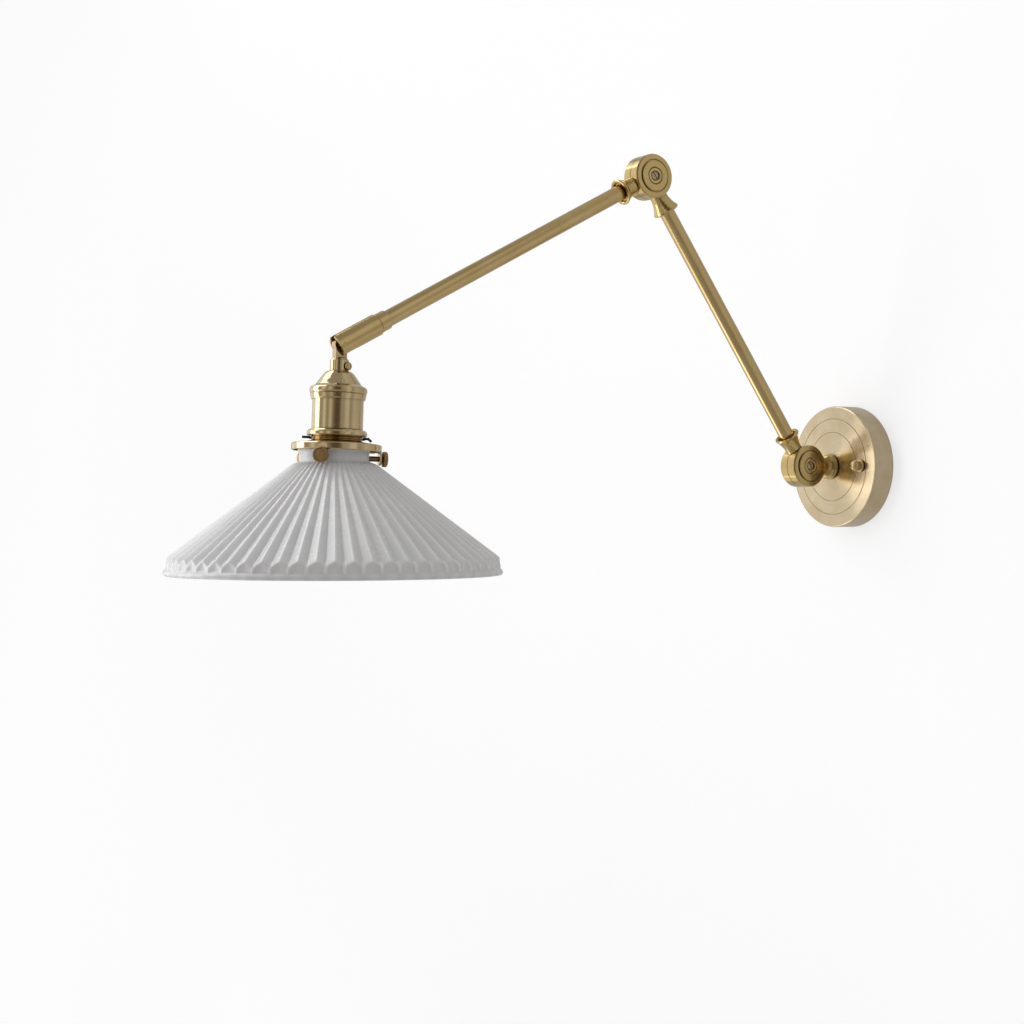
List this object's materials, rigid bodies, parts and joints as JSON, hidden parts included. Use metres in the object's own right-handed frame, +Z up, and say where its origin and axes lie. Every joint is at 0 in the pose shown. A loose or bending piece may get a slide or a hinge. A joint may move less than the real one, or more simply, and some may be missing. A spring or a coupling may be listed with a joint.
{
  "type": "swing arm wall lamp",
  "caption": "Wall lamp on a round plate: two brass tubes with friction knuckles carry a lamp holder and a wide pleated ceramic shade that swivels and tilts.",
  "frame": {"origin": "centre of the wall plate's back, on the wall", "axes": "+Y into the wall, -Y out into the room, +Z up, both arms in the plane X = 0 at rest"},
  "size_m": [0.25, 0.6353, 0.3401],
  "materials": {
    "plate_brass": "brushed in circles, satin lacquer",
    "antique_brass": "antique brushed brass, satin",
    "bronzed_screws": "darkened brass",
    "zinc_steel": "zinc plated",
    "contact_brass": "bright, unlacquered",
    "green_screw": "green passivated",
    "black_fibre": "matt",
    "spring_wire": "blackened spring steel",
    "lead_insulation": "matt",
    "terminal_plastic": "satin",
    "porcelain": "glazed",
    "shade_ceramic": "white bisque with a thin satin glaze"
  },
  "bodies": {
    "wall_mount": {"wall_plate": "plate_brass", "mounting_crossbar": "zinc_steel", "mounting_studs": "zinc_steel", "stud_lock_nuts": "zinc_steel", "cap_nuts": "antique_brass", "terminal_block": "terminal_plastic", "terminal_screws": "contact_brass", "earth_screw": "green_screw", "supply_leads": "lead_insulation", "swivel_washer": "black_fibre"},
    "neck": {"neck_knuckle": "antique_brass", "swivel_nipple": "contact_brass", "nipple_washer": "zinc_steel", "nipple_nut": "zinc_steel", "neck_lead": "lead_insulation", "wall_pivot_bolt": "bronzed_screws", "wall_cup_washer": "antique_brass", "wall_friction_ring": "black_fibre", "wall_pivot_nut": "zinc_steel"},
    "lower_arm": {"lower_arm_foot": "antique_brass", "lower_arm_tube": "antique_brass", "lower_arm_elbow": "antique_brass", "lower_arm_lead": "lead_insulation", "elbow_pivot_bolt": "bronzed_screws", "elbow_cup_washer": "antique_brass", "elbow_friction_ring": "black_fibre", "elbow_pivot_nut": "zinc_steel"},
    "upper_arm": {"upper_arm_elbow": "antique_brass", "upper_arm_tube": "antique_brass", "swivel_collar": "antique_brass", "upper_arm_lead": "lead_insulation"},
    "sleeve": {"tilt_sleeve": "antique_brass", "sleeve_set_screw": "bronzed_screws", "tilt_pin": "bronzed_screws"},
    "head": {"tilt_tongue": "antique_brass", "tongue_nut": "zinc_steel", "stem_set_screw": "bronzed_screws", "holder_cap": "antique_brass", "holder_body": "antique_brass", "holder_core": "porcelain", "screw_shell": "contact_brass", "centre_contact": "contact_brass", "holder_terminals": "contact_brass", "holder_lead": "lead_insulation", "ring_nut": "antique_brass", "gallery": "antique_brass", "gallery_nut": "antique_brass", "retaining_clip": "spring_wire", "shade": "shade_ceramic"},
    "front_thumbscrew": {"thumbscrew_front": "bronzed_screws"},
    "right_thumbscrew": {"thumbscrew_right": "bronzed_screws"},
    "left_thumbscrew": {"thumbscrew_left": "bronzed_screws"}
  },
  "joints": [
    {"name": "neck_swivel", "type": "hinge", "parent": "wall_mount", "child": "neck", "pos_m": [0, -0.024, 0], "axis": [0, 1, 0], "range_deg": [-90, 90]},
    {"name": "wall_knuckle", "type": "hinge", "parent": "neck", "child": "lower_arm", "pos_m": [0, -0.05575, 0], "axis": [1, 0, 0], "range_deg": [-35, 80]},
    {"name": "elbow_knuckle", "type": "hinge", "parent": "lower_arm", "child": "upper_arm", "pos_m": [0, -0.22274, 0.2355], "axis": [1, 0, 0], "range_deg": [-85, 45]},
    {"name": "sleeve_swivel", "type": "hinge", "parent": "upper_arm", "child": "sleeve", "pos_m": [0, -0.50542, 0.08425], "axis": [0, -0.8817, -0.4718], "range_deg": [-90, 90]},
    {"name": "head_tilt", "type": "hinge", "parent": "sleeve", "child": "head", "pos_m": [0, -0.50542, 0.08425], "axis": [1, 0, 0], "range_deg": [-58, 42]},
    {"name": "front_thumbscrew_slide", "type": "slide", "parent": "head", "child": "front_thumbscrew", "axis": [0.7133, -0.7004, 0.0269], "range_m": [0, 0.0035]},
    {"name": "right_thumbscrew_slide", "type": "slide", "parent": "head", "child": "right_thumbscrew", "axis": [0.2504, 0.9674, -0.0372], "range_m": [0, 0.0035]},
    {"name": "left_thumbscrew_slide", "type": "slide", "parent": "head", "child": "left_thumbscrew", "axis": [-0.9636, -0.267, 0.0103], "range_m": [0, 0.0035]}
  ]
}
